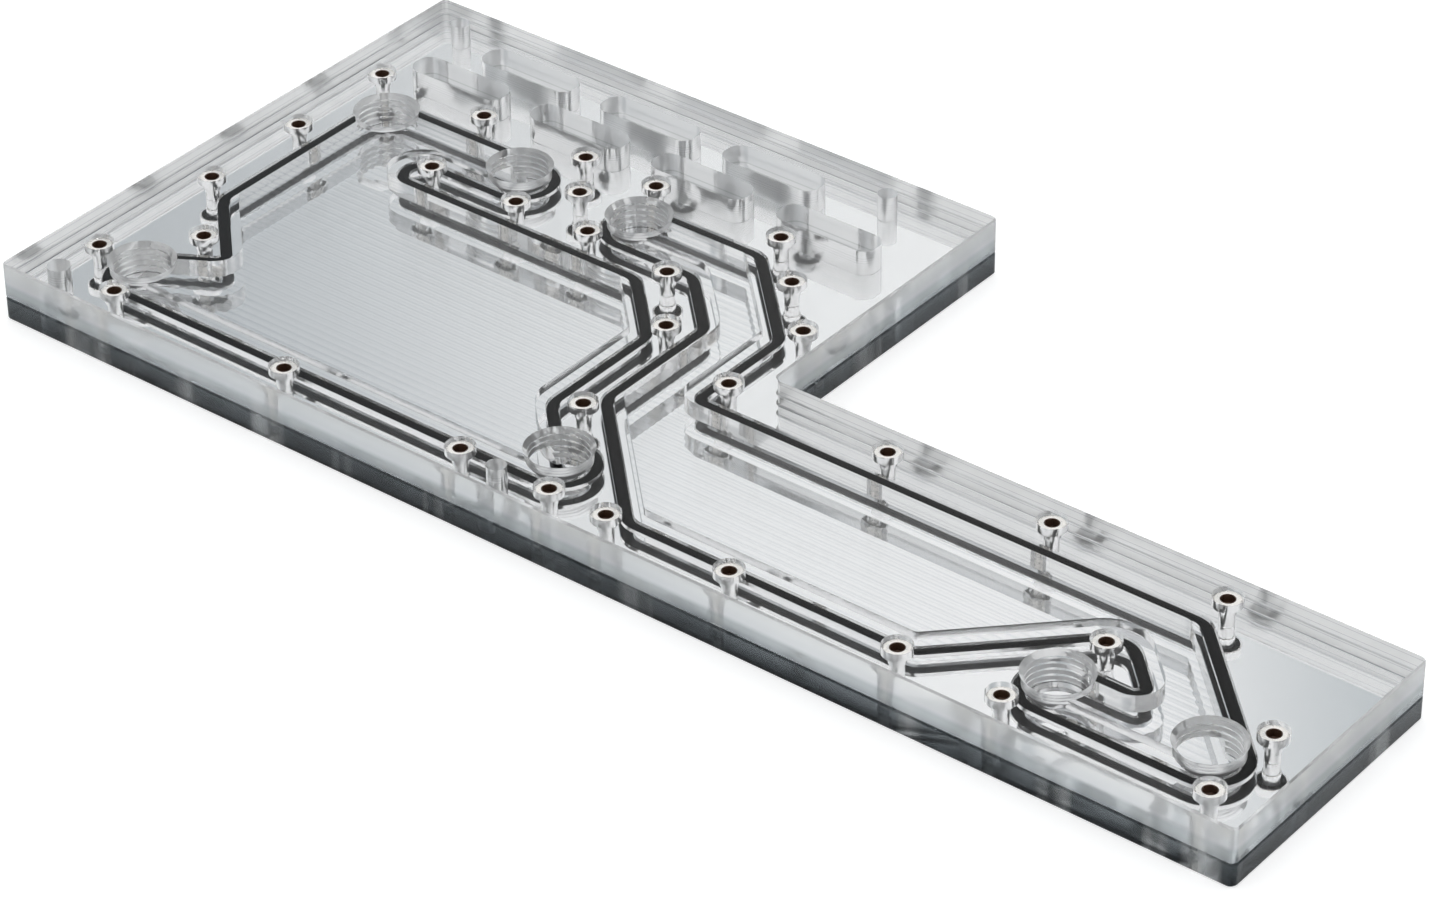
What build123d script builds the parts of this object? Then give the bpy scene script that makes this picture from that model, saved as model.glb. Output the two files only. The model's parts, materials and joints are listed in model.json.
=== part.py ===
from build123d import *
import math
import os

# Water cooling distribution plate: an upper plate with threaded ports and milled pools, a lower
# plate with seal grooves, one closed O-ring to each of its two circuits, and the socket head
# screws that clamp the plates together.
# Millimetres. Drawn from the front left corner: X along the front edge, Y to the back, Z up.
# The finished pieces are moved so that the origin is under the middle of the plate.

# Plate outline, an L
PLATE_LENGTH = 290.0
BLOCK_WIDTH = 145.4
BLOCK_DEPTH = 133.0
WING_DEPTH = 60.6
CORNER_RADIUS = 1.5
UPPER_THICKNESS = 7.8
LOWER_THICKNESS = 5.0
EDGE_CHAMFER = 0.35

# Ports, tapped for a G1/4 fitting: the bore is the tapping drill, and a plain land is left under it
PORT_BORE_RADIUS = 5.9
PORT_LAND_RADIUS = 5.7
PORT_MOUTH_RADIUS = 6.9
PORT_TAPPED_DEPTH = 6.6
PORT_FROM_FRONT = 18.0
PORT_FROM_LEFT = 21.25
PORT_BACK_Y = 90.4
LEFT_OUTLET_X = 57.1
RIGHT_INLET_X = 88.1
LEFT_INLET_FROM_BLOCK_SIDE = 17.4
PORT_FROM_RIGHT = 17.2
PORT_PITCH = 31.8

# Seals and the pools that they enclose
CORD_DIAMETER = 2.0
GROOVE_DEPTH = 1.7
GROOVE_SIDE_CLEARANCE = 0.13
SEAL_RING_RADIUS = 6.95
SEAL_BEND_RADIUS = 5.0
SEAL_TIP_RADIUS = 2.0
SEAL_TONGUE_RADIUS = 3.7
SEAL_WEDGE_RADIUS = 5.55
POOL_INSET = 3.2
POOL_DEPTH = 3.7

# Screws, M3 socket head cap screws
SCREW_RADIUS = 1.5
SCREW_LENGTH = 8.0
HEAD_RADIUS = 2.75
HEAD_HEIGHT = 3.0
HEAD_CHAMFER = 0.3
HEX_ACROSS_FLATS = 2.5
HEX_DEPTH = 1.6
HEAD_SINK = 0.65
HEAD_CLEARANCE = 0.25
SHANK_CLEARANCE = 0.2

# Screw lines, from the plate's edges or from the seal
SIDE_SCREW_MARGIN = 10.0
FRONT_SCREW_MARGIN = 7.2
WING_BACK_SCREW_MARGIN = 6.0
BLOCK_SIDE_SCREW_MARGIN = 6.3
SCREW_TO_SEAL = 4.35

# Mounting holes through both plates
MOUNT_HOLE_RADIUS = 2.0
WIDE_MOUNT_HOLE_RADIUS = 2.4
MOUNT_HOLE_X = 9.8
MOUNT_HOLE_PITCH_X = 112.6
MOUNT_HOLE_Y = 6.5
MOUNT_HOLE_FROM_BACK = 6.2

# Slots through both plates
SLOT_LENGTH = 24.0
SLOT_WIDTH = 7.0
SLOT_CORNER_RADIUS = 3.0
SLOT_PITCH = 32.0
BACK_SLOT_COUNT = 3
BACK_SLOT_X = 34.4
BACK_SLOT_FROM_BACK = 12.35
FRONT_SLOT_COUNT = 4
FRONT_SLOT_X = 25.0
SLOT_ROW_PITCH = 11.25

TOP_Z = LOWER_THICKNESS + UPPER_THICKNESS
SEAM_Z = LOWER_THICKNESS
CUT_MARGIN = 1.0

PORTS = {
    "left_front": (PORT_FROM_LEFT, PORT_FROM_FRONT),
    "left_back": (PORT_FROM_LEFT, PORT_BACK_Y),
    "left_outlet": (LEFT_OUTLET_X, PORT_BACK_Y),
    "right_inlet": (RIGHT_INLET_X, PORT_BACK_Y),
    "left_inlet": (BLOCK_WIDTH - LEFT_INLET_FROM_BLOCK_SIDE, PORT_FROM_FRONT),
    "right_middle": (PLATE_LENGTH - PORT_FROM_RIGHT - PORT_PITCH, PORT_FROM_FRONT),
    "right_outlet": (PLATE_LENGTH - PORT_FROM_RIGHT, PORT_FROM_FRONT),
}

# The seal's straight runs follow from the rings round the ports
SEAL_FRONT_Y = PORT_FROM_FRONT - SEAL_RING_RADIUS
SEAL_LEFT_X = PORT_FROM_LEFT - SEAL_RING_RADIUS
SEAL_BACK_Y = PORT_BACK_Y + SEAL_RING_RADIUS
SEAL_CHANNEL_Y = PORT_BACK_Y - SEAL_RING_RADIUS

BACK_ROW_Y = SEAL_BACK_Y + SCREW_TO_SEAL
RIGHT_COLUMN_X = PLATE_LENGTH - SIDE_SCREW_MARGIN
WING_BACK_Y = WING_DEPTH - WING_BACK_SCREW_MARGIN
BLOCK_COLUMN_X = BLOCK_WIDTH - BLOCK_SIDE_SCREW_MARGIN
BETWEEN_ROW_Y = SEAL_CHANNEL_Y - 3.4

# Screws that the seal bends round
LEFT_INNER_SCREW = (PORT_FROM_LEFT + 2.85, PORT_FROM_FRONT + 14.6)
MIDDLE_FRONT_SCREW = (PORTS["left_inlet"][0] - 6.5, PORT_FROM_FRONT + 14.7)
WEDGE_SCREW = (PORTS["right_middle"][0] + 1.2, PORT_FROM_FRONT + 13.0)
MIDDLE_BACK_SCREW = (MIDDLE_FRONT_SCREW[0] - 4.5, MIDDLE_FRONT_SCREW[1] + 30.4)
DIAGONAL_SCREW = (BLOCK_COLUMN_X - 12.4, BACK_ROW_Y - 11.6)

SCREW_POINTS = [
    (SIDE_SCREW_MARGIN, BACK_ROW_Y),
    (SIDE_SCREW_MARGIN, BACK_ROW_Y - 25.8),
    (SIDE_SCREW_MARGIN, BACK_ROW_Y - 51.7),
    LEFT_INNER_SCREW,
    (SIDE_SCREW_MARGIN, PORT_FROM_FRONT - 0.4),
    (LEFT_INNER_SCREW[0], FRONT_SCREW_MARGIN),
    (68.75, FRONT_SCREW_MARGIN),
    (PORTS["left_inlet"][0] - 15.0, FRONT_SCREW_MARGIN),
    (PORTS["left_inlet"][0] + 6.5, FRONT_SCREW_MARGIN),
    (BLOCK_WIDTH + 2.6, FRONT_SCREW_MARGIN),
    (BLOCK_WIDTH + 31.2, FRONT_SCREW_MARGIN),
    (BLOCK_WIDTH + 68.8, FRONT_SCREW_MARGIN),
    (PORTS["right_middle"][0] - 4.3, FRONT_SCREW_MARGIN),
    (RIGHT_COLUMN_X, FRONT_SCREW_MARGIN),
    (RIGHT_COLUMN_X, PORT_FROM_FRONT + 8.8),
    WEDGE_SCREW,
    (PORTS["right_outlet"][0] - 20.8, WING_BACK_Y),
    (BLOCK_WIDTH + 68.4, WING_BACK_Y),
    (BLOCK_WIDTH + 31.2, WING_BACK_Y),
    (BLOCK_COLUMN_X, WING_BACK_Y),
    (BLOCK_COLUMN_X, BACK_ROW_Y - 24.1),
    DIAGONAL_SCREW,
    (BLOCK_COLUMN_X - 24.1, BACK_ROW_Y),
    (RIGHT_INLET_X - 4.8, BACK_ROW_Y),
    (LEFT_OUTLET_X + 7.9, BACK_ROW_Y),
    ((LEFT_OUTLET_X + RIGHT_INLET_X) / 2, PORT_BACK_Y + 0.2),
    (RIGHT_INLET_X - 4.9, BETWEEN_ROW_Y + 0.2),
    (RIGHT_INLET_X + 17.0, BETWEEN_ROW_Y - 1.9),
    MIDDLE_BACK_SCREW,
    MIDDLE_FRONT_SCREW,
    (LEFT_OUTLET_X + 7.7, BETWEEN_ROW_Y),
    (LEFT_OUTLET_X - 14.5, BETWEEN_ROW_Y),
    (LEFT_OUTLET_X - 19.2, BACK_ROW_Y),
]

MOUNT_HOLES = [
    (MOUNT_HOLE_X, BLOCK_DEPTH - MOUNT_HOLE_FROM_BACK, MOUNT_HOLE_RADIUS),
    (MOUNT_HOLE_X + MOUNT_HOLE_PITCH_X, BLOCK_DEPTH - MOUNT_HOLE_FROM_BACK, MOUNT_HOLE_RADIUS),
    (MOUNT_HOLE_X, MOUNT_HOLE_Y, WIDE_MOUNT_HOLE_RADIUS),
    (MOUNT_HOLE_X + MOUNT_HOLE_PITCH_X, MOUNT_HOLE_Y, MOUNT_HOLE_RADIUS),
]

BACK_SLOT_Y = BLOCK_DEPTH - BACK_SLOT_FROM_BACK
FRONT_SLOT_Y = BACK_SLOT_Y - SLOT_ROW_PITCH
SLOT_POINTS = [(BACK_SLOT_X + SLOT_PITCH * i, BACK_SLOT_Y) for i in range(BACK_SLOT_COUNT)]
SLOT_POINTS += [(FRONT_SLOT_X + SLOT_PITCH * i, FRONT_SLOT_Y) for i in range(FRONT_SLOT_COUNT)]


# Seal paths. Each stop is a ring round a port or a bend: (x, y, ring radius, bend radius). The path
# runs anticlockwise round its circuit like a belt, and a ring radius below zero turns clockwise.

def ring(name):
    x, y = PORTS[name]
    return (x, y, SEAL_RING_RADIUS, 0.0)


def bend(x, y, radius=SEAL_BEND_RADIUS):
    return (x, y, 0.0, radius)


def left_circuit_stops():
    tip_x = LEFT_INNER_SCREW[0] + 6.8
    tip_y = LEFT_INNER_SCREW[1] - 0.9
    right_x = MIDDLE_FRONT_SCREW[0] - 7.75
    inlet_diagonal = MIDDLE_FRONT_SCREW[0] + MIDDLE_FRONT_SCREW[1] - 7.95
    inlet_y = PORT_FROM_FRONT + SEAL_RING_RADIUS
    tongue_x = LEFT_OUTLET_X - 17.3
    tongue_y = SEAL_CHANNEL_Y - SEAL_TONGUE_RADIUS
    pool_back_y = tongue_y - SEAL_TONGUE_RADIUS
    corner_diagonal = MIDDLE_BACK_SCREW[0] + MIDDLE_BACK_SCREW[1] - 5.1
    return [
        ring("left_front"),
        ring("left_inlet"),
        bend(inlet_diagonal - inlet_y, inlet_y),
        bend(right_x, inlet_diagonal - right_x),
        bend(right_x, corner_diagonal - right_x),
        bend(corner_diagonal - pool_back_y, pool_back_y),
        (tongue_x, tongue_y, -SEAL_TONGUE_RADIUS, 0.0),
        ring("left_outlet"),
        ring("left_back"),
        bend(SEAL_LEFT_X, tip_x + tip_y - SEAL_LEFT_X),
        bend(tip_x, tip_y, SEAL_TIP_RADIUS),
    ]


def right_circuit_stops():
    outlet_x, port_y = PORTS["right_outlet"]
    left_x = MIDDLE_FRONT_SCREW[0] - 0.55
    right_x = BLOCK_COLUMN_X - 4.2
    wing_y = WING_BACK_Y - 4.55
    shoulder = MIDDLE_BACK_SCREW[0] + MIDDLE_BACK_SCREW[1] + 10.8
    front_diagonal = MIDDLE_FRONT_SCREW[0] + MIDDLE_FRONT_SCREW[1] + 6.8
    wedge_left = WEDGE_SCREW[0] - WEDGE_SCREW[1] - SEAL_WEDGE_RADIUS * math.sqrt(2)
    wedge_right = WEDGE_SCREW[0] + WEDGE_SCREW[1] + SEAL_WEDGE_RADIUS * math.sqrt(2)
    ring_top_y = port_y + SEAL_RING_RADIUS
    outlet_diagonal = outlet_x + port_y + SEAL_RING_RADIUS * math.sqrt(2)
    back_diagonal = DIAGONAL_SCREW[0] + DIAGONAL_SCREW[1] - 6.1
    return [
        ring("right_inlet"),
        bend(shoulder - SEAL_CHANNEL_Y, SEAL_CHANNEL_Y),
        bend(left_x, shoulder - left_x),
        bend(left_x, front_diagonal - left_x),
        bend(front_diagonal - SEAL_FRONT_Y, SEAL_FRONT_Y),
        bend(wedge_left + SEAL_FRONT_Y, SEAL_FRONT_Y),
        (WEDGE_SCREW[0], WEDGE_SCREW[1], -SEAL_WEDGE_RADIUS, 0.0),
        bend(wedge_right - ring_top_y, ring_top_y, SEAL_TIP_RADIUS),
        ring("right_middle"),
        ring("right_outlet"),
        bend(outlet_diagonal - wing_y, wing_y),
        bend(right_x, wing_y, SEAL_TIP_RADIUS),
        bend(right_x, back_diagonal - right_x),
        bend(back_diagonal - SEAL_BACK_Y, SEAL_BACK_Y),
    ]


def heading_between(a, b):
    # Direction of the straight run that leaves the circle of stop a and meets that of stop b
    dx = b[0] - a[0]
    dy = b[1] - a[1]
    return math.atan2(dy, dx) + math.asin((a[2] - b[2]) / math.hypot(dx, dy))


def side_point(stop, heading):
    # The point where a run with this heading touches the stop's circle
    return (stop[0] + stop[2] * math.sin(heading), stop[1] - stop[2] * math.cos(heading))


def turn_between(before, after):
    return (after - before + math.pi) % (2 * math.pi) - math.pi


def seal_path(stops):
    count = len(stops)
    headings = [heading_between(stops[i], stops[(i + 1) % count]) for i in range(count)]
    arcs = []
    for i, stop in enumerate(stops):
        before = headings[i - 1]
        turn = turn_between(before, headings[i])
        if stop[2] < 0 and turn > 0:
            turn -= 2 * math.pi
        if stop[2] > 0 and turn < 0:
            turn += 2 * math.pi
        if stop[2] == 0:
            radius = math.copysign(stop[3], turn)
            back = abs(stop[3] * math.tan(turn / 2))
            start_x = stop[0] - back * math.cos(before)
            start_y = stop[1] - back * math.sin(before)
            centre = (start_x - radius * math.sin(before), start_y + radius * math.cos(before), radius)
        else:
            centre = (stop[0], stop[1], stop[2])
        points = [side_point(centre, before + turn * share) for share in (0.0, 0.5, 1.0)]
        arcs.append(points)
    edges = []
    for i in range(count):
        edges.append(ThreePointArc(*arcs[i]))
        edges.append(Line(arcs[i][2], arcs[(i + 1) % count][0]))
    return Wire(edges)


# Plates

def plate_blank(thickness, low_z):
    corners = [
        (0, 0), (PLATE_LENGTH, 0), (PLATE_LENGTH, WING_DEPTH),
        (BLOCK_WIDTH, WING_DEPTH), (BLOCK_WIDTH, BLOCK_DEPTH), (0, BLOCK_DEPTH),
    ]
    outline = make_face(Polyline(*corners, close=True))
    outline = fillet(outline.vertices(), CORNER_RADIUS)
    blank = Pos(0, 0, low_z) * extrude(outline, thickness)
    rims = blank.edges().group_by(Axis.Z)
    return chamfer(rims[0] + rims[-1], EDGE_CHAMFER)


def column(x, y, radius, low_z, high_z):
    return Pos(x, y, (low_z + high_z) / 2) * Cylinder(radius, high_z - low_z)


def through_cuts():
    low_z = -CUT_MARGIN
    high_z = TOP_Z + CUT_MARGIN
    slot = extrude(RectangleRounded(SLOT_LENGTH, SLOT_WIDTH, SLOT_CORNER_RADIUS), high_z - low_z)
    cuts = [Pos(x, y, low_z) * slot for x, y in SLOT_POINTS]
    cuts += [column(x, y, radius, low_z, high_z) for x, y, radius in MOUNT_HOLES]
    return cuts


def port_cuts():
    mouth_depth = PORT_MOUTH_RADIUS - PORT_BORE_RADIUS
    cuts = []
    for x, y in PORTS.values():
        cuts.append(column(x, y, PORT_LAND_RADIUS, SEAM_Z - CUT_MARGIN, TOP_Z))
        cuts.append(column(x, y, PORT_BORE_RADIUS, TOP_Z - PORT_TAPPED_DEPTH, TOP_Z + CUT_MARGIN))
        mouth = Cone(PORT_BORE_RADIUS, PORT_MOUTH_RADIUS, mouth_depth)
        cuts.append(Pos(x, y, TOP_Z - mouth_depth / 2) * mouth)
    return cuts


def screw_seat_cuts():
    seat_z = TOP_Z - HEAD_SINK - HEAD_HEIGHT
    cuts = []
    for x, y in SCREW_POINTS:
        cuts.append(column(x, y, HEAD_RADIUS + HEAD_CLEARANCE, seat_z, TOP_Z + CUT_MARGIN))
        cuts.append(column(x, y, SCREW_RADIUS + SHANK_CLEARANCE, SEAM_Z - CUT_MARGIN, seat_z))
    return cuts


def pool_cut(path):
    pool = offset(make_face(path), -POOL_INSET)
    return Pos(0, 0, SEAM_Z) * extrude(pool, POOL_DEPTH)


def groove_cut(path):
    half_width = squeezed_cord_width() / 2 + GROOVE_SIDE_CLEARANCE
    circuit = make_face(path)
    band = offset(circuit, half_width) - offset(circuit, -half_width)
    return Pos(0, 0, SEAM_Z - GROOVE_DEPTH) * extrude(band, GROOVE_DEPTH)


def squeezed_cord_width():
    # The round cord is pressed to the groove's depth and keeps its area
    return CORD_DIAMETER ** 2 / GROOVE_DEPTH


def make_upper_plate(paths):
    plate = plate_blank(UPPER_THICKNESS, SEAM_Z)
    plate -= through_cuts()
    plate -= port_cuts()
    plate -= screw_seat_cuts()
    for path in paths:
        plate -= pool_cut(path)
    return plate


def make_lower_plate(paths):
    plate = plate_blank(LOWER_THICKNESS, 0.0)
    plate -= through_cuts()
    plate -= [column(x, y, SCREW_RADIUS, -CUT_MARGIN, SEAM_Z + CUT_MARGIN) for x, y in SCREW_POINTS]
    for path in paths:
        plate -= groove_cut(path)
    return plate


# Seals and screws

def make_o_ring(path):
    section = Ellipse(squeezed_cord_width() / 2, GROOVE_DEPTH / 2)
    start = Plane(origin=path @ 0, x_dir=(path % 0).cross(Vector(0, 0, 1)), z_dir=path % 0)
    cord = sweep(start * section, path)
    return Pos(0, 0, SEAM_Z - GROOVE_DEPTH / 2) * cord


def make_screw(x, y):
    head_z = TOP_Z - HEAD_SINK
    seat_z = head_z - HEAD_HEIGHT
    head = column(x, y, HEAD_RADIUS, seat_z, head_z)
    head = chamfer(head.edges().group_by(Axis.Z)[-1], HEAD_CHAMFER)
    hexagon = RegularPolygon(HEX_ACROSS_FLATS / 2, 6, major_radius=False)
    socket = Pos(x, y, head_z - HEX_DEPTH) * extrude(hexagon, HEX_DEPTH)
    shank = column(x, y, SCREW_RADIUS, seat_z - SCREW_LENGTH, seat_z)
    return head + shank - socket


def export(solid, node):
    moved = Pos(-PLATE_LENGTH / 2, -BLOCK_DEPTH / 2, 0) * solid
    export_step(moved, f"parts/{node}.step")


def main():
    os.makedirs("parts", exist_ok=True)
    left_path = seal_path(left_circuit_stops())
    right_path = seal_path(right_circuit_stops())
    export(make_upper_plate([left_path, right_path]), "upper_plate")
    export(make_lower_plate([left_path, right_path]), "lower_plate")
    export(make_o_ring(left_path), "left_o_ring")
    export(make_o_ring(right_path), "right_o_ring")
    for number, (x, y) in enumerate(SCREW_POINTS, start=1):
        export(make_screw(x, y), f"screw_{number:02d}")


main()
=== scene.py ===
import bmesh
import bpy
import json
import math
import random
from mathutils import Matrix, Vector

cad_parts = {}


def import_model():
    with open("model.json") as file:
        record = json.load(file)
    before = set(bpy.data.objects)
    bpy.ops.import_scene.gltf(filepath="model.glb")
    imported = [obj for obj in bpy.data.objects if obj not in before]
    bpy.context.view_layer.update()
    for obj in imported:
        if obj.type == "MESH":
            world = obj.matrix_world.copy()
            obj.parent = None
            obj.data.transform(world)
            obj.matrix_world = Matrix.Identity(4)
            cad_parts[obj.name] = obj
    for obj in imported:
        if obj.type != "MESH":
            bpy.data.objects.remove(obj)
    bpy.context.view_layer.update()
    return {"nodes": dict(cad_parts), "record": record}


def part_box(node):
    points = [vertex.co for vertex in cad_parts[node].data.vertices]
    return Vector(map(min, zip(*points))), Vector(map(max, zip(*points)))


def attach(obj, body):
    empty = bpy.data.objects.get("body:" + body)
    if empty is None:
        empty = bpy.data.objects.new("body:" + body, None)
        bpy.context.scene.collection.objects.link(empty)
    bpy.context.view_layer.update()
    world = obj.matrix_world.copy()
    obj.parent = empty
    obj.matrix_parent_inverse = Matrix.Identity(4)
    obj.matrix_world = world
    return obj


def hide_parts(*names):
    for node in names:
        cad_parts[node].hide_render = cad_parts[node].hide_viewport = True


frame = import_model()
random.seed(7)

MM = 0.001

# Heights and reach of the plates, from the frame
UPPER_LOW, UPPER_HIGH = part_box("upper_plate")
TOP_Z = UPPER_HIGH.z
SEAM_Z = UPPER_LOW.z
SEAM_GAP = 0.01 * MM
WELD_REACH = 0.001 * MM
POOL_MARK_HEIGHT = 1 * MM

# The L outline and the pools, as in part.py
BLOCK_WIDTH = 145.4 * MM
WING_DEPTH = 60.6 * MM
OUTLINE_MARGIN = 1.7 * MM
POOL_DEPTH = 3.7 * MM
POOL_TOP_Z = SEAM_Z + POOL_DEPTH
CEILING_MARGIN = 0.1 * MM

# Port threads, G1/4 in the tapped bore
PORT_POINTS = [m["pos_m"] for m in frame["record"]["mounts"] if m["kind"] == "threaded_hole"]
PORT_REACH = 6.8 * MM
THREAD_PITCH = 1.337 * MM
THREAD_INNER_RADIUS = 5.84 * MM
THREAD_OUTER_RADIUS = 6.45 * MM
THREAD_INNER_HEIGHT = 1.2 * MM
THREAD_OUTER_HEIGHT = 0.14 * MM
THREAD_LOW_Z = TOP_Z - 6.2 * MM
THREAD_HIGH_Z = TOP_Z - 0.4 * MM
THREAD_STEPS = 90
PORT_TOP_MARGIN = 0.01 * MM

# Slots and mounting holes, whose walls have a finish of their own
SLOT_BOXES = [o["box_m"] for o in frame["record"]["physics"]["openings"] if "slot" in o["name"]]
HOLE_POINTS = [m["pos_m"] for m in frame["record"]["mounts"] if m["kind"] == "bore"]
SLOT_END_REACH = 2.2 * MM
SLOT_SIDE_REACH = 0.8 * MM
HOLE_REACH = 3.0 * MM

# Screws, M3 socket head, as in part.py
SCREWS = sorted(n for n in frame["nodes"] if n.startswith("screw_"))
HEAD_RADIUS = 2.75 * MM
HEAD_HEIGHT = 3.0 * MM
HEAD_CHAMFER = 0.3 * MM
SHANK_RADIUS = 1.5 * MM
SHANK_ROOT_RADIUS = 1.25 * MM
SHANK_LENGTH = 8.0 * MM
SCREW_PITCH = 0.5 * MM
SOCKET_RADIUS = 1.25 * MM / math.cos(math.pi / 6)
SOCKET_DEPTH = 1.6 * MM
SOCKET_POINT_DEPTH = 0.5 * MM
SOCKET_BEVEL = 0.06 * MM
SOCKET_POINT_SHARE = 0.55
HEAD_FOOT_CHAMFER = 0.08 * MM
PLAIN_SHANK = 1.0 * MM
SCREW_SIDES = 48
STEEL, SOCKET_FLOOR, SOCKET_WALL = range(3)

O_RINGS = ["left_o_ring", "right_o_ring"]

# Camera, as solved from the photograph
CAMERA_AZIMUTH = 38.792
CAMERA_ELEVATION = 34.451
CAMERA_ROLL = -0.658
CAMERA_TARGET = Vector((6.744, -31.444, 12.8)) * MM
CAMERA_DISTANCE = 942.79 * MM
FOCAL_PIXELS = 5093.0
IMAGE_WIDTH = 1434
SENSOR_WIDTH = 36.0
CLIP_START = 0.05

# Acrylic
ACRYLIC_IOR = 1.49
CLEAR_TINT = (0.99, 0.995, 1.0)
PASS_SHADE = (0.55, 0.57, 0.58)
SIDE_CLEARNESS = 0.75
SIDE_GLOW = 0.12
SLOT_CLEARNESS = 0.84
SLOT_GLOW = 0.14
WHOLE_TURN = 0.9
POLISHED, MILLED, SAWN_WITH_PAINTED_SHADE, TOOLED, SEAM, THREAD, FROSTED = range(7)

# Satin walls: haze, glow from the other side, lowest and highest roughness
MILLED_FINISH = (0.1, 0.08, 0.07, 0.13)
THREAD_FINISH = (0.15, 0.2, 0.03, 0.08)

# Noise over a surface: scale, lowest and highest value, stretch along X, Y and Z
NOISE_DETAIL = 3.0
SATIN_SCALE = 400.0
SATIN_STRETCH = (1, 1, 6)
SCUFFS = (90.0, 0.0, 0.004)
SIDE_GRAIN = (60.0, 0.16, 0.24)
SIDE_BARS = (70.0, -1.2, 2.2, (1, 1, 0.05))
POOL_GRAIN = (300.0, 0.0, 0.03, (1, 8, 1))
SLOT_GRAIN = (SATIN_SCALE, 0.1, 0.17, SATIN_STRETCH)
RUBBER_GRAIN = (900.0, 0.42, 0.6)
STEEL_GRAIN = (1500.0, 0.2, 0.36)
SOCKET_GRAIN = (2500.0, 0.2, 0.5)

# The pale bars on the outer sides: where they start, and their share and colour on each plate
BAR_START = 0.62
UPPER_BARS = (0.3, (0.95, 0.95, 0.95, 1))
LOWER_BARS = (0.75, (0.6, 0.63, 0.64, 1))

# Rubber and steel
RUBBER_COLOUR = (0.004, 0.004, 0.0045, 1)
RUBBER_IOR = 1.3
RUBBER_SHEEN = 0.08
STEEL_COLOUR = (0.95, 0.92, 0.88, 1)
# Painted shade in the hex socket: its floor darkest, its walls darker than the head's steel
SOCKET_FLOOR_PAINTED_SHADE = (0.07, 0.045, 0.035, 1)
SOCKET_WALL_PAINTED_SHADE = (0.42, 0.31, 0.24, 1)

# The mill's passes: wave texture scales, the width and shade of the lines, and the slots' stretch
SIDE_PASSES = 90.0
SIDE_PASS_WIDTH = 0.04
INNER_WHITE = (0.99, 0.99, 0.99)
POOL_PASSES = 170.0
POOL_PASS_WIDTH = 0.3
POOL_PASS_WAVER = 0.3
POOL_PASS_SHADE = (0.82, 0.84, 0.86)
POOL_BUMP_STRENGTH = 0.6
POOL_BUMP_HEIGHT = 0.01 * MM
SLOT_PASSES = 250.0
SLOT_PASS_WIDTH = 0.25
SLOT_PASSES_LOW_Z = SEAM_Z + 0.2 * MM
SLOT_PASSES_HIGH_Z = SEAM_Z + 4.5 * MM
SLOT_PASSES_END_Z = SEAM_Z + 5.0 * MM

# The outer sides' painted shade, from the foot up: each side darker towards its foot, the upper one with a
# painted highlight at its top edge
UPPER_SIDE_PAINTED_SHADE = [
    (SEAM_Z, (0.38, 0.42, 0.45)), (SEAM_Z + 2.5 * MM, (0.58, 0.63, 0.65)),
    (SEAM_Z + 4 * MM, (0.84, 0.87, 0.89)), (TOP_Z - 0.6 * MM, (0.97, 0.98, 0.98)),
    (TOP_Z, (1, 1, 1))]
LOWER_SIDE_PAINTED_SHADE = [
    (0.0, (0.006, 0.008, 0.01)), (2 * MM, (0.025, 0.032, 0.037)), (SEAM_Z, (0.07, 0.085, 0.095))]

# Slopes, as the height of a face's normal
STEEP = 0.3
LEVEL = 0.9
FLANK_LOW = 0.1
FLANK_HIGH = 0.97
PLATE_SHARP_ANGLE = math.radians(30)
SCREW_SHARP_ANGLE = math.radians(25)

# Floor and light
FLOOR_SIZE = 12
FLOOR_Z = -0.05 * MM
FLOOR_GLOW = 0.58
FLOOR_WHITE = (0.6, 0.6, 0.6, 1)
TABLE_GLOSS = (0.9, 0.91, 0.92, 1)
TABLE_MATT = (0.8, 0.8, 0.8, 1)
TABLE_MATT_SHARE = 0.1
TABLE_ROUGHNESS = 0.01
SOFT_LIGHT = (0.95, 0.97, 0.98, 1)
WHITE = (1, 1, 1, 1)
CARD_SHADES = [
    (-0.5, (1.0, 1.0, 1.0)), (-0.25, (0.42, 0.45, 0.47)), (-0.12, (0.54, 0.57, 0.59)),
    (0.02, (0.95, 0.96, 0.96)), (0.07, (1.0, 1.0, 1.0)), (0.14, (0.56, 0.6, 0.62)),
    (0.3, (0.6, 0.63, 0.65)), (0.5, (1.0, 1.0, 1.0))]
CARD_RISE = [(0.38, (0, 0, 0)), (0.46, (1, 1, 1)), (0.68, (1, 1, 1)), (0.76, (0, 0, 0))]
CARD_AWAY = [(0.3, (0, 0, 0)), (0.5, (1, 1, 1))]
SCATTER_LIMIT = 0.5

# Light paths
LONG_PATH = 32
GLOSSY_PATH = 24
DIFFUSE_PATH = 8


# Node helpers

def new_material(name):
    material = bpy.data.materials.new(name)
    material.use_nodes = True
    tree = material.node_tree
    tree.nodes.clear()
    output = tree.nodes.new("ShaderNodeOutputMaterial")
    return material, tree, output


def add_node(tree, kind, inputs=None, **settings):
    node = tree.nodes.new(kind)
    for key, value in settings.items():
        setattr(node, key, value)
    for key, value in (inputs or {}).items():
        node.inputs[key].default_value = value
    return node


def principled(tree, output, **inputs):
    shader = tree.nodes.new("ShaderNodeBsdfPrincipled")
    for key, value in inputs.items():
        shader.inputs[key.replace("_", " ")].default_value = value
    tree.links.new(shader.outputs[0], output.inputs["Surface"])
    return shader


def noise_value(tree, scale, low, high, stretch=(1, 1, 1)):
    place = add_node(tree, "ShaderNodeTexCoord")
    turn = add_node(tree, "ShaderNodeMapping", {"Scale": stretch})
    noise = add_node(tree, "ShaderNodeTexNoise", {"Scale": scale, "Detail": NOISE_DETAIL})
    spread = add_node(tree, "ShaderNodeMapRange", {"To Min": low, "To Max": high})
    tree.links.new(place.outputs["Object"], turn.inputs["Vector"])
    tree.links.new(turn.outputs["Vector"], noise.inputs["Vector"])
    tree.links.new(noise.outputs["Fac"], spread.inputs["Value"])
    return spread.outputs["Result"]


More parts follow.
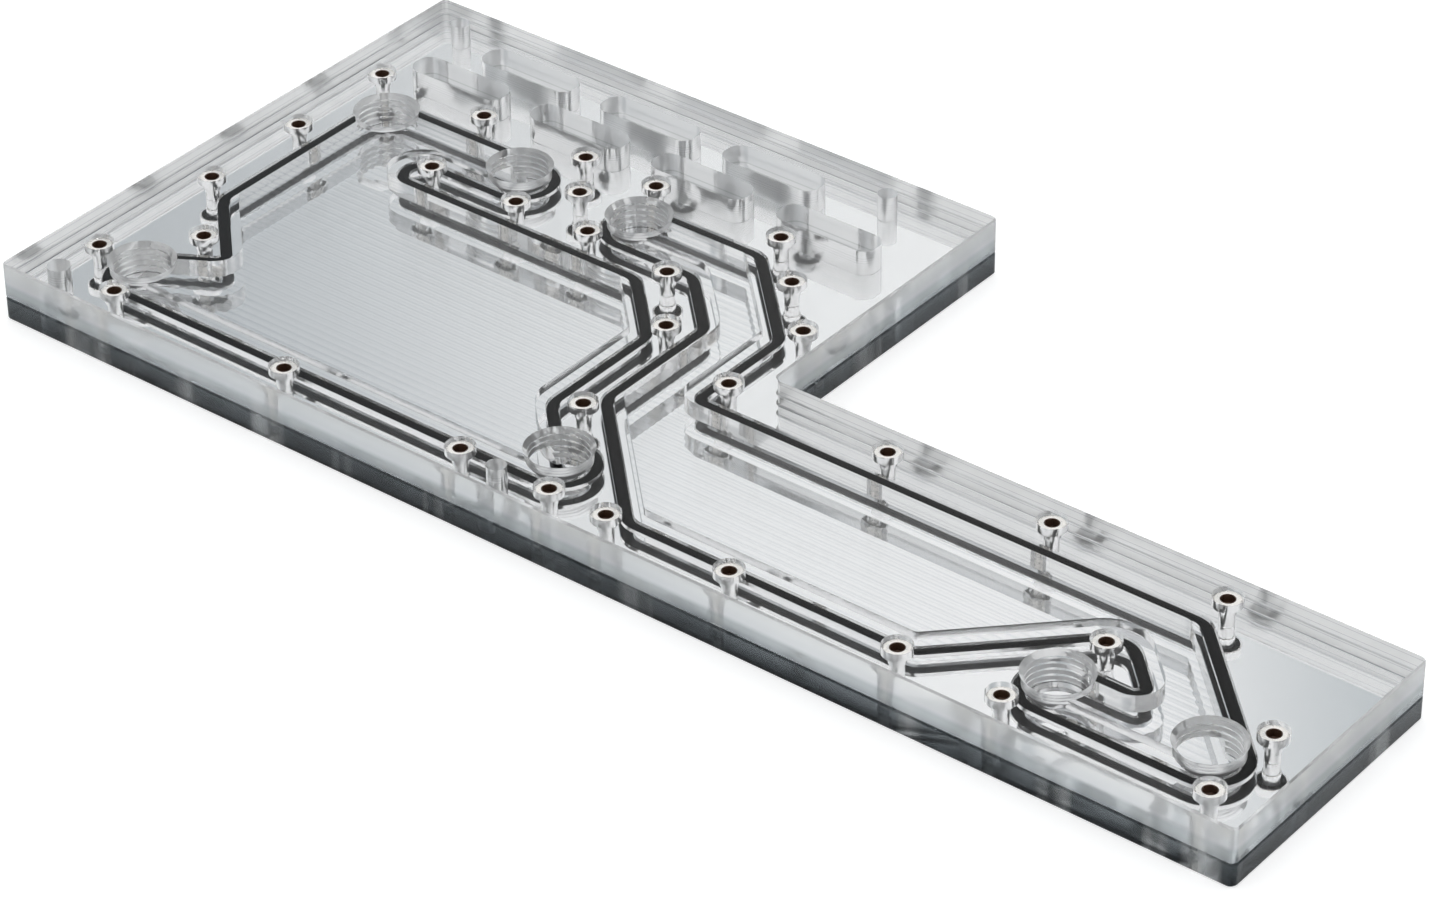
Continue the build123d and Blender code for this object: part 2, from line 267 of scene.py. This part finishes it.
def height_and_place(tree):
    # The height above the underside, and the place in the object
    place = add_node(tree, "ShaderNodeTexCoord").outputs["Object"]
    parts = add_node(tree, "ShaderNodeSeparateXYZ")
    tree.links.new(place, parts.inputs[0])
    return parts.outputs["Z"], place


def passes(tree, place, scale, direction, distortion=0.0):
    # The parallel passes of a cutter
    wave = add_node(tree, "ShaderNodeTexWave", {"Scale": scale, "Distortion": distortion},
                    bands_direction=direction)
    tree.links.new(place, wave.inputs["Vector"])
    return wave.outputs["Fac"]


def ramp(tree, value, low, high, stops):
    # Colours over a stretch of values, eased from stop to stop
    spread = add_node(tree, "ShaderNodeMapRange", {"From Min": low, "From Max": high})
    node = add_node(tree, "ShaderNodeValToRGB")
    tree.links.new(value, spread.inputs["Value"])
    tree.links.new(spread.outputs["Result"], node.inputs["Fac"])
    elements = node.color_ramp.elements
    node.color_ramp.interpolation = "EASE"
    while len(elements) < len(stops):
        elements.new(0.5)
    for element, (place, colour) in zip(elements, stops):
        element.position = (place - low) / (high - low)
        element.color = (*colour, 1)
    return node.outputs["Color"]


def bump(tree, shader, height, strength, distance):
    node = add_node(tree, "ShaderNodeBump", {"Strength": strength, "Distance": distance})
    tree.links.new(height, node.inputs["Height"])
    tree.links.new(node.outputs["Normal"], shader.inputs["Normal"])


def mixed_shader(tree, factor, first, second):
    node = add_node(tree, "ShaderNodeMixShader")
    if isinstance(factor, float):
        node.inputs[0].default_value = factor
    else:
        tree.links.new(factor, node.inputs[0])
    tree.links.new(first.outputs[0], node.inputs[1])
    tree.links.new(second.outputs[0], node.inputs[2])
    return node


def combined(tree, operation, first, second):
    node = add_node(tree, "ShaderNodeMath", operation=operation)
    tree.links.new(first, node.inputs[0])
    tree.links.new(second, node.inputs[1])
    return node.outputs[0]


def mixed(tree, factor, first, second):
    node = add_node(tree, "ShaderNodeMix", data_type="RGBA")
    tree.links.new(factor, node.inputs["Factor"])
    tree.links.new(first, node.inputs["A"])
    tree.links.new(second, node.inputs["B"])
    return node.outputs["Result"]


def plain(tree, colour):
    node = add_node(tree, "ShaderNodeRGB")
    node.outputs[0].default_value = colour
    return node.outputs[0]


# Acrylic materials

def acrylic(name, colour=WHITE):
    material, tree, output = new_material(name)
    shader = principled(tree, output, Base_Color=colour, Roughness=0.0, IOR=ACRYLIC_IOR,
                        Transmission_Weight=1.0, Specular_Tint=(0, 0, 0, 1))
    return material, tree, shader


def polished_acrylic(name):
    # The sheet's own faces, with faint scuffs
    material, tree, shader = acrylic(name)
    tree.links.new(noise_value(tree, *SCUFFS), shader.inputs["Roughness"])
    return material


def let_glow_through(tree, shader, share):
    # A satin surface also passes light on from its other side, scattered
    output = next(n for n in tree.nodes if n.bl_idname == "ShaderNodeOutputMaterial")
    glow = add_node(tree, "ShaderNodeBsdfTranslucent", {"Color": (*CLEAR_TINT, 1)})
    mix = mixed_shader(tree, share, shader, glow)
    tree.links.new(mix.outputs[0], output.inputs["Surface"])
    return glow


def frosted_acrylic(name, haze, glow, low, high):
    # Walls that a tool has left satin: partly clear and partly white
    material, tree, shader = acrylic(name, (*CLEAR_TINT, 1))
    shader.inputs["Transmission Weight"].default_value = 1.0 - haze
    let_glow_through(tree, shader, glow)
    grain = noise_value(tree, SATIN_SCALE, low, high, SATIN_STRETCH)
    tree.links.new(grain, shader.inputs["Roughness"])
    return material


def side_acrylic(name, low_z, high_z, shades, bar_share, bar_colour):
    # An outer side, with painted shade from its foot up and pale bars on the outside, and inside white with
    # the mill's passes
    material, tree, shader = acrylic(name)
    shader.inputs["Transmission Weight"].default_value = SIDE_CLEARNESS
    height, place = height_and_place(tree)
    # Painted shade, and a painted highlight at the top edge, shown only from outside; seen from inside, the
    # same face is white
    outer = ramp(tree, height, low_z, high_z, shades)
    bars = noise_value(tree, *SIDE_BARS)
    limit = add_node(tree, "ShaderNodeMapRange", {"From Min": BAR_START, "To Max": bar_share})
    tree.links.new(bars, limit.inputs["Value"])
    outer = mixed(tree, limit.outputs["Result"], outer, plain(tree, bar_colour))
    lines = passes(tree, place, SIDE_PASSES, "Z")
    inner = ramp(tree, lines, 0.0, 1.0, [(0.0, PASS_SHADE), (SIDE_PASS_WIDTH, INNER_WHITE)])
    geometry = add_node(tree, "ShaderNodeNewGeometry")
    colour = mixed(tree, geometry.outputs["Backfacing"], outer, inner)
    tree.links.new(colour, shader.inputs["Base Color"])
    glow = let_glow_through(tree, shader, SIDE_GLOW)
    tree.links.new(colour, glow.inputs["Color"])
    tree.links.new(noise_value(tree, *SIDE_GRAIN), shader.inputs["Roughness"])
    return material


def upper_side(name):
    return side_acrylic(name, SEAM_Z, TOP_Z, UPPER_SIDE_PAINTED_SHADE, *UPPER_BARS)


def lower_side(name):
    return side_acrylic(name, 0.0, SEAM_Z, LOWER_SIDE_PAINTED_SHADE, *LOWER_BARS)


def tooled_acrylic(name):
    # Pool ceilings, with the mill's parallel passes
    material, tree, shader = acrylic(name)
    place = add_node(tree, "ShaderNodeTexCoord").outputs["Object"]
    wave = passes(tree, place, POOL_PASSES, "Y", POOL_PASS_WAVER)
    lines = ramp(tree, wave, 0.0, 1.0, [(0.0, POOL_PASS_SHADE), (POOL_PASS_WIDTH, (1, 1, 1))])
    tree.links.new(lines, shader.inputs["Base Color"])
    bump(tree, shader, wave, POOL_BUMP_STRENGTH, POOL_BUMP_HEIGHT)
    tree.links.new(noise_value(tree, *POOL_GRAIN), shader.inputs["Roughness"])
    return material


def slot_acrylic(name):
    # Slot and hole walls, satin, with the cutter's passes in the upper plate's lower part
    material, tree, shader = acrylic(name)
    shader.inputs["Transmission Weight"].default_value = SLOT_CLEARNESS
    height, place = height_and_place(tree)
    wave = passes(tree, place, SLOT_PASSES, "Z")
    lines = ramp(tree, wave, 0.0, 1.0, [(0.0, PASS_SHADE), (SLOT_PASS_WIDTH, CLEAR_TINT)])
    bare = ramp(tree, height, 0.0, TOP_Z, [
        (SEAM_Z, (1, 1, 1)), (SLOT_PASSES_LOW_Z, (0, 0, 0)),
        (SLOT_PASSES_HIGH_Z, (0, 0, 0)), (SLOT_PASSES_END_Z, (1, 1, 1))])
    colour = mixed(tree, bare, lines, plain(tree, (*CLEAR_TINT, 1)))
    tree.links.new(colour, shader.inputs["Base Color"])
    let_glow_through(tree, shader, SLOT_GLOW)
    tree.links.new(noise_value(tree, *SLOT_GRAIN), shader.inputs["Roughness"])
    return material


def seam_acrylic(name):
    # Where the plates are pressed together: light passes without a sheen, or is turned back whole
    material, tree, output = new_material(name)
    share = add_node(tree, "ShaderNodeFresnel", {"IOR": ACRYLIC_IOR})
    turned = add_node(tree, "ShaderNodeMath", {1: WHOLE_TURN}, operation="GREATER_THAN")
    through = add_node(tree, "ShaderNodeBsdfRefraction",
                       {"Color": WHITE, "IOR": ACRYLIC_IOR, "Roughness": 0.0})
    back = add_node(tree, "ShaderNodeBsdfGlossy", {"Color": WHITE, "Roughness": 0.0})
    tree.links.new(share.outputs[0], turned.inputs[0])
    mix = mixed_shader(tree, turned.outputs[0], through, back)
    tree.links.new(mix.outputs[0], output.inputs["Surface"])
    return material


def acrylic_set(name, side):
    # In the order of the finishes' numbers
    return [
        polished_acrylic(name + "_polished"),
        frosted_acrylic(name + "_milled", *MILLED_FINISH),
        side(name + "_sides_painted_shade"),
        tooled_acrylic(name + "_pool"),
        seam_acrylic(name + "_seam"),
        frosted_acrylic(name + "_thread", *THREAD_FINISH),
        slot_acrylic(name + "_slot"),
    ]


# Rubber and steel

def seal_rubber():
    material, tree, output = new_material("seal_rubber")
    shader = principled(tree, output, Base_Color=RUBBER_COLOUR, Roughness=0.5,
                        IOR=RUBBER_IOR, Specular_IOR_Level=RUBBER_SHEEN)
    tree.links.new(noise_value(tree, *RUBBER_GRAIN), shader.inputs["Roughness"])
    return material


def screw_steel():
    # Satin stainless steel, turned
    material, tree, output = new_material("screw_steel")
    shader = principled(tree, output, Base_Color=STEEL_COLOUR, Roughness=0.2, Metallic=1.0)
    tree.links.new(noise_value(tree, *STEEL_GRAIN), shader.inputs["Roughness"])
    return material


def socket_steel_painted_shade(name, colour):
    # The hex socket's inside: pressed steel, darkened with painted shade
    material, tree, output = new_material(name)
    shader = principled(tree, output, Base_Color=colour, Roughness=0.3, Metallic=1.0)
    tree.links.new(noise_value(tree, *SOCKET_GRAIN), shader.inputs["Roughness"])
    return material


# Plates

def copy_of(node, name):
    mesh = frame["nodes"][node].data.copy()
    mesh.name = name
    obj = bpy.data.objects.new(name, mesh)
    bpy.context.scene.collection.objects.link(obj)
    return obj


def weld(obj):
    bm = bmesh.new()
    bm.from_mesh(obj.data)
    bmesh.ops.remove_doubles(bm, verts=bm.verts, dist=WELD_REACH)
    bm.to_mesh(obj.data)
    bm.free()
    if "custom_normal" in obj.data.attributes:
        obj.data.attributes.remove(obj.data.attributes["custom_normal"])


def new_object(name, bm):
    mesh = bpy.data.meshes.new(name)
    bm.to_mesh(mesh)
    bm.free()
    obj = bpy.data.objects.new(name, mesh)
    bpy.context.scene.collection.objects.link(obj)
    return obj


def thread_cutter(x, y):
    # A coil with a blunt V section, as long as the tapped stretch
    bm = bmesh.new()
    half_in = THREAD_INNER_HEIGHT / 2
    half_out = THREAD_OUTER_HEIGHT / 2
    section = [(THREAD_INNER_RADIUS, -half_in), (THREAD_OUTER_RADIUS, -half_out),
               (THREAD_OUTER_RADIUS, half_out), (THREAD_INNER_RADIUS, half_in)]
    turns = (THREAD_HIGH_Z - THREAD_LOW_Z) / THREAD_PITCH
    steps = int(turns * THREAD_STEPS)
    rings = []
    for i in range(steps + 1):
        angle = 2 * math.pi * i / THREAD_STEPS
        height = THREAD_LOW_Z + THREAD_PITCH * i / THREAD_STEPS
        rings.append([bm.verts.new((x + r * math.cos(angle), y + r * math.sin(angle), height + rise))
                      for r, rise in section])
    corners = len(section)
    for low, high in zip(rings[:-1], rings[1:]):
        for j in range(corners):
            following = (j + 1) % corners
            bm.faces.new((low[j], high[j], high[following], low[following]))
    bm.faces.new(rings[0])
    bm.faces.new(rings[-1][::-1])
    bmesh.ops.recalc_face_normals(bm, faces=bm.faces)
    return bm


def port_thread_tool():
    tool = bmesh.new()
    for point in PORT_POINTS:
        coil = thread_cutter(point[0], point[1])
        mesh = bpy.data.meshes.new("coil")
        coil.to_mesh(mesh)
        coil.free()
        tool.from_mesh(mesh)
        bpy.data.meshes.remove(mesh)
    return new_object("thread_tool", tool)


def cut(obj, tool):
    modifier = obj.modifiers.new("cut", "BOOLEAN")
    modifier.operation = "DIFFERENCE"
    modifier.solver = "EXACT"
    modifier.object = tool
    graph = bpy.context.evaluated_depsgraph_get()
    mesh = bpy.data.meshes.new_from_object(obj.evaluated_get(graph))
    obj.modifiers.remove(modifier)
    old = obj.data
    obj.data = mesh
    bpy.data.meshes.remove(old)
    bpy.data.objects.remove(tool)


def is_ceiling(normal, centre):
    return normal.z < -LEVEL and abs(centre.z - POOL_TOP_Z) < CEILING_MARGIN


def pool_tool(upper):
    # The pools' ceilings brought down to the seam, to mark where the lower plate faces a pool
    bm = bmesh.new()
    bm.from_mesh(upper.data)
    others = [f for f in bm.faces if not is_ceiling(f.normal, f.calc_center_median())]
    bmesh.ops.delete(bm, geom=others, context="FACES")
    for vertex in bm.verts:
        vertex.co.z = SEAM_Z - 2 * SEAM_GAP
    grown = bmesh.ops.extrude_face_region(bm, geom=bm.faces[:])
    for item in grown["geom"]:
        if isinstance(item, bmesh.types.BMVert):
            item.co.z = SEAM_Z + POOL_MARK_HEIGHT
    bmesh.ops.recalc_face_normals(bm, faces=bm.faces)
    return new_object("pool_tool", bm)


def on_outline(point):
    near_left = point.x < UPPER_LOW.x + OUTLINE_MARGIN
    near_front = point.y < UPPER_LOW.y + OUTLINE_MARGIN
    near_right = point.x > UPPER_HIGH.x - OUTLINE_MARGIN
    near_back = point.y > UPPER_HIGH.y - OUTLINE_MARGIN
    block_side = UPPER_LOW.x + BLOCK_WIDTH
    wing_back = UPPER_LOW.y + WING_DEPTH
    near_block = abs(point.x - block_side) < OUTLINE_MARGIN and point.y > wing_back - OUTLINE_MARGIN
    near_wing = abs(point.y - wing_back) < OUTLINE_MARGIN and point.x > block_side - OUTLINE_MARGIN
    return near_left or near_front or near_right or near_back or near_block or near_wing


def in_port(point):
    near = any(math.hypot(point.x - x, point.y - y) < PORT_REACH for x, y, z in PORT_POINTS)
    return near and THREAD_LOW_Z - THREAD_PITCH < point.z < TOP_Z - PORT_TOP_MARGIN


def in_slot(point):
    for low, high in SLOT_BOXES:
        beside = low[0] - SLOT_END_REACH < point.x < high[0] + SLOT_END_REACH
        if beside and low[1] - SLOT_SIDE_REACH < point.y < high[1] + SLOT_SIDE_REACH:
            return True
    return any(math.hypot(point.x - x, point.y - y) < HOLE_REACH for x, y, z in HOLE_POINTS)


def finish_of(polygon):
    centre = polygon.center
    slope = abs(polygon.normal.z)
    steep = slope < STEEP
    if in_port(centre) and FLANK_LOW < slope < FLANK_HIGH:
        return THREAD
    # The outline's chamfers go with the sides, so the top ones take the painted highlight along the upper
    # side's top edge
    if slope < LEVEL and on_outline(centre):
        return SAWN_WITH_PAINTED_SHADE
    if steep and in_slot(centre):
        return FROSTED
    if steep:
        return MILLED
    if slope > LEVEL and abs(centre.z - SEAM_Z) < SEAM_GAP:
        return SEAM
    if is_ceiling(polygon.normal, centre):
        return TOOLED
    return POLISHED


def open_seam(plate, shift):
    for vertex in plate.data.vertices:
        if abs(vertex.co.z - SEAM_Z) < WELD_REACH:
            vertex.co.z += shift


def dress_plate(plate, node, side):
    mesh = plate.data
    mesh.materials.clear()
    for material in acrylic_set(plate.name, side):
        mesh.materials.append(material)
    for polygon in mesh.polygons:
        polygon.material_index = finish_of(polygon)
    mesh.shade_smooth()
    mesh.set_sharp_from_angle(angle=PLATE_SHARP_ANGLE)
    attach(plate, "root")
    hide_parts(node)


def plates():
    upper = copy_of("upper_plate", "clear_upper_plate")
    weld(upper)
    lower = copy_of("lower_plate", "clear_lower_plate")
    weld(lower)
    cut(lower, pool_tool(upper))
    cut(upper, port_thread_tool())
    open_seam(upper, SEAM_GAP / 2)
    dress_plate(upper, "upper_plate", upper_side)
    dress_plate(lower, "lower_plate", lower_side)


# Screws

def ring_of(bm, radius, z):
    angles = [2 * math.pi * i / SCREW_SIDES for i in range(SCREW_SIDES)]
    return [bm.verts.new((radius * math.cos(angle), radius * math.sin(angle), z)) for angle in angles]


def join_rings(bm, a, b, material=STEEL):
    count = len(a)
    for i in range(count):
        following = (i + 1) % count
        face = bm.faces.new((a[i], a[following], b[following], b[i]))
        face.material_index = material


def hex_ring(bm, radius, z):
    # The socket's hexagon with as many points as the round rings
    points = []
    for i in range(SCREW_SIDES):
        angle = 2 * math.pi * i / SCREW_SIDES
        inside = (angle % (math.pi / 3)) - math.pi / 6
        reach = radius * math.cos(math.pi / 6) / math.cos(inside)
        points.append(bm.verts.new((reach * math.cos(angle), reach * math.sin(angle), z)))
    return points


def screw_mesh():
    # Drawn from the socket's point up and over the head, then down the shank; the origin is on the seat
    bm = bmesh.new()
    top = HEAD_HEIGHT
    point_z = top - SOCKET_DEPTH - SOCKET_POINT_DEPTH
    bottom = ring_of(bm, SOCKET_RADIUS * SOCKET_POINT_SHARE, point_z)
    floor_ring = hex_ring(bm, SOCKET_RADIUS, top - SOCKET_DEPTH)
    mouth = hex_ring(bm, SOCKET_RADIUS, top - SOCKET_BEVEL)
    lip = ring_of(bm, SOCKET_RADIUS + SOCKET_BEVEL, top)
    rim = ring_of(bm, HEAD_RADIUS - HEAD_CHAMFER, top)
    side = ring_of(bm, HEAD_RADIUS, top - HEAD_CHAMFER)
    foot = ring_of(bm, HEAD_RADIUS, HEAD_FOOT_CHAMFER)
    under = ring_of(bm, HEAD_RADIUS - HEAD_FOOT_CHAMFER, 0.0)
    neck = ring_of(bm, SHANK_RADIUS, 0.0)
    face = bm.faces.new(bottom)
    face.material_index = SOCKET_FLOOR
    join_rings(bm, bottom, floor_ring, SOCKET_FLOOR)
    join_rings(bm, floor_ring, mouth, SOCKET_WALL)
    # The socket's bevelled lip takes the floor's painted shade, as a dark outline round the socket
    join_rings(bm, mouth, lip, SOCKET_FLOOR)
    chain = [lip, rim, side, foot, under, neck]
    z = -PLAIN_SHANK
    chain.append(ring_of(bm, SHANK_RADIUS, z))
    while z > -SHANK_LENGTH + SCREW_PITCH:
        chain.append(ring_of(bm, SHANK_ROOT_RADIUS, z - SCREW_PITCH / 2))
        chain.append(ring_of(bm, SHANK_RADIUS, z - SCREW_PITCH))
        z -= SCREW_PITCH
    chain.append(ring_of(bm, SHANK_ROOT_RADIUS, -SHANK_LENGTH))
    for a, b in zip(chain[:-1], chain[1:]):
        join_rings(bm, a, b)
    bm.faces.new(chain[-1])
    bmesh.ops.recalc_face_normals(bm, faces=bm.faces)
    mesh = bpy.data.meshes.new("socket_screw")
    bm.to_mesh(mesh)
    bm.free()
    mesh.materials.append(screw_steel())
    mesh.materials.append(socket_steel_painted_shade("screw_socket_floor_painted_shade", SOCKET_FLOOR_PAINTED_SHADE))
    mesh.materials.append(socket_steel_painted_shade("screw_socket_wall_painted_shade", SOCKET_WALL_PAINTED_SHADE))
    mesh.shade_smooth()
    mesh.set_sharp_from_angle(angle=SCREW_SHARP_ANGLE)
    return mesh


def screws():
    mesh = screw_mesh()
    for node in SCREWS:
        low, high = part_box(node)
        seat = Vector(((low.x + high.x) / 2, (low.y + high.y) / 2, high.z - HEAD_HEIGHT))
        obj = bpy.data.objects.new("socket_" + node, mesh)
        obj.matrix_world = Matrix.Translation(seat) @ Matrix.Rotation(random.uniform(0, math.pi / 3), 4, "Z")
        bpy.context.scene.collection.objects.link(obj)
        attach(obj, "root")
        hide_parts(node)


def seals():
    rubber = seal_rubber()
    for node in O_RINGS:
        mesh = frame["nodes"][node].data
        mesh.materials.clear()
        mesh.materials.append(rubber)


# Stage

def floor():
    bpy.ops.mesh.primitive_plane_add(size=FLOOR_SIZE, location=(0, 0, FLOOR_Z))
    obj = bpy.context.object
    obj.name = "floor"
    material, tree, output = new_material("floor")
    paths = add_node(tree, "ShaderNodeLightPath")
    seen = add_node(tree, "ShaderNodeEmission", {"Color": WHITE, "Strength": FLOOR_GLOW})
    white = add_node(tree, "ShaderNodeBsdfDiffuse", {"Color": FLOOR_WHITE})
    backdrop = add_node(tree, "ShaderNodeAddShader")
    tree.links.new(seen.outputs[0], backdrop.inputs[0])
    tree.links.new(white.outputs[0], backdrop.inputs[1])
    gloss = add_node(tree, "ShaderNodeBsdfGlossy", {"Color": TABLE_GLOSS, "Roughness": TABLE_ROUGHNESS})
    matt = add_node(tree, "ShaderNodeBsdfDiffuse", {"Color": TABLE_MATT})
    table = mixed_shader(tree, TABLE_MATT_SHARE, gloss, matt)
    mix = mixed_shader(tree, paths.outputs["Is Camera Ray"], table, backdrop)
    tree.links.new(mix.outputs[0], output.inputs["Surface"])
    obj.data.materials.append(material)


def direction_share(tree, direction, axis):
    # How far a world direction points along an axis
    node = add_node(tree, "ShaderNodeVectorMath", operation="DOT_PRODUCT")
    tree.links.new(direction, node.inputs[0])
    node.inputs[1].default_value = axis
    return node.outputs["Value"]


def world():
    scene_world = bpy.data.worlds.new("studio")
    bpy.context.scene.world = scene_world
    scene_world.use_nodes = True
    tree = scene_world.node_tree
    tree.nodes.clear()
    output = tree.nodes.new("ShaderNodeOutputWorld")
    azimuth = math.radians(CAMERA_AZIMUTH)
    place = add_node(tree, "ShaderNodeTexCoord")
    direction = place.outputs["Generated"]
    across = direction_share(tree, direction, (math.cos(azimuth), math.sin(azimuth), 0.0))
    away = direction_share(tree, direction, (-math.sin(azimuth), math.cos(azimuth), 0.0))
    rise = direction_share(tree, direction, (0.0, 0.0, 1.0))
    shades = ramp(tree, across, -1.0, 1.0, CARD_SHADES)
    # The grey cards stand behind the plate, in a band of heights, with white all round them
    band = ramp(tree, rise, 0.0, 1.0, CARD_RISE)
    behind = ramp(tree, away, 0.0, 1.0, CARD_AWAY)
    card = combined(tree, "MULTIPLY", band, behind)
    cards = add_node(tree, "ShaderNodeBackground", {"Strength": 1.0})
    tree.links.new(mixed(tree, card, plain(tree, WHITE), shades), cards.inputs["Color"])
    soft = add_node(tree, "ShaderNodeBackground", {"Color": SOFT_LIGHT, "Strength": 1.0})
    white = add_node(tree, "ShaderNodeBackground", {"Color": WHITE, "Strength": 1.0})
    # The cards are seen in and through the object, but not by light that it has scattered
    paths = add_node(tree, "ShaderNodeLightPath")
    either = combined(tree, "MAXIMUM", paths.outputs["Is Glossy Ray"], paths.outputs["Is Transmission Ray"])
    unscattered = add_node(tree, "ShaderNodeMath", {1: SCATTER_LIMIT}, operation="LESS_THAN")
    tree.links.new(paths.outputs["Diffuse Depth"], unscattered.inputs[0])
    clear = combined(tree, "MULTIPLY", either, unscattered.outputs[0])
    inner = mixed_shader(tree, clear, soft, cards)
    mix = mixed_shader(tree, paths.outputs["Is Camera Ray"], inner, white)
    tree.links.new(mix.outputs[0], output.inputs["Surface"])


def camera():
    azimuth = math.radians(CAMERA_AZIMUTH)
    elevation = math.radians(CAMERA_ELEVATION)
    roll = math.radians(CAMERA_ROLL)
    back = Vector((math.sin(azimuth) * math.cos(elevation),
                   -math.cos(azimuth) * math.cos(elevation), math.sin(elevation)))
    level = Vector((math.cos(azimuth), math.sin(azimuth), 0.0))
    upright = back.cross(level)
    right = level * math.cos(roll) + upright * math.sin(roll)
    up = upright * math.cos(roll) - level * math.sin(roll)
    data = bpy.data.cameras.new("camera")
    data.sensor_width = SENSOR_WIDTH
    data.sensor_fit = "HORIZONTAL"
    data.lens = FOCAL_PIXELS * SENSOR_WIDTH / IMAGE_WIDTH
    data.clip_start = CLIP_START
    obj = bpy.data.objects.new("camera", data)
    turn = Matrix((right, up, back)).transposed()
    obj.matrix_world = Matrix.Translation(CAMERA_TARGET + back * CAMERA_DISTANCE) @ turn.to_4x4()
    bpy.context.scene.collection.objects.link(obj)
    bpy.context.scene.camera = obj


def main():
    plates()
    screws()
    seals()
    floor()
    world()
    camera()
    scene = bpy.context.scene
    scene.view_settings.view_transform = "Standard"
    scene.cycles.max_bounces = LONG_PATH
    scene.cycles.transmission_bounces = LONG_PATH
    scene.cycles.glossy_bounces = GLOSSY_PATH
    scene.cycles.diffuse_bounces = DIFFUSE_PATH
    scene.cycles.transparent_max_bounces = LONG_PATH


main()
